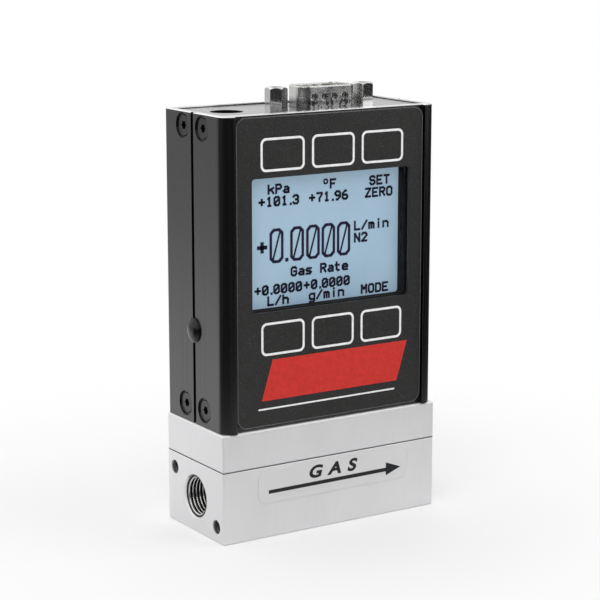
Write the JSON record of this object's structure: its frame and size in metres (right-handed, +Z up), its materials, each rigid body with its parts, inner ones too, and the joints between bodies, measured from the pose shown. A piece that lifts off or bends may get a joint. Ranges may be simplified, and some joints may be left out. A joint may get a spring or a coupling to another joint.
{
  "type": "mass flow meter",
  "caption": "Compact gas mass flow meter: metal flow block with threaded end ports, black housing with keypad and display, and a plug connector on top.",
  "frame": {"origin": "middle of the flow body's underside, on which the meter stands", "axes": "+X along the gas flow from inlet to outlet, -Y the front with keypad and display, +Z up"},
  "size_m": [0.0616, 0.0273, 0.1059],
  "materials": {
    "base_metal": "satin anodised",
    "steel": "machined",
    "seal_rubber": "matt",
    "housing_black": "fine texture",
    "screw_steel": "dark satin",
    "plug_black": "satin",
    "plate_metal": "brushed",
    "plated_steel": "bright plated",
    "insulator_black": "moulded",
    "contact_brass": "plated",
    "jackscrew_steel": "bright plated",
    "jack_black": "moulded",
    "overlay_film": "printed film",
    "circuit_film": "film",
    "connector_white": "moulded",
    "window_clear": "clear",
    "display_frame": "black",
    "lcd": "display",
    "backlight_white": "diffuse",
    "board_green": "solder mask",
    "standoff_brass": "machined",
    "chip_black": "moulded",
    "sensor_white": "moulded",
    "label_foil": "printed foil"
  },
  "bodies": {
    "root": {"flow_body": "base_metal", "sensor_block": "base_metal", "laminar_element": "steel", "inlet_screen": "steel", "outlet_screen": "steel", "tap_seals": "seal_rubber", "body_bolts": "steel", "front_shell": "housing_black", "rear_shell": "housing_black", "side_screws": "screw_steel", "side_plug": "plug_black", "top_plate": "plate_metal", "dsub_shell": "plated_steel", "dsub_insulator": "insulator_black", "dsub_pins": "contact_brass", "jackscrews": "jackscrew_steel", "jackscrew_nuts": "steel", "power_jack_body": "jack_black", "power_jack_pin": "contact_brass", "keypad_overlay": "overlay_film", "keypad_circuit": "circuit_film", "key_domes": "steel", "keypad_connector": "connector_white", "display_window": "window_clear", "lcd_frame": "display_frame", "lcd_glass": "lcd", "lcd_backlight": "backlight_white", "display_board": "board_green", "board_standoffs": "standoff_brass", "display_board_screw": "steel", "board_link_header": "insulator_black", "main_board": "board_green", "main_board_parts": "chip_black", "main_board_screws": "steel", "differential_pressure_sensor": "sensor_white", "sensor_screws": "steel", "absolute_pressure_sensor": "steel", "sensor_seals": "seal_rubber", "temperature_probe": "steel", "flow_label": "label_foil"}
  },
  "joints": []
}
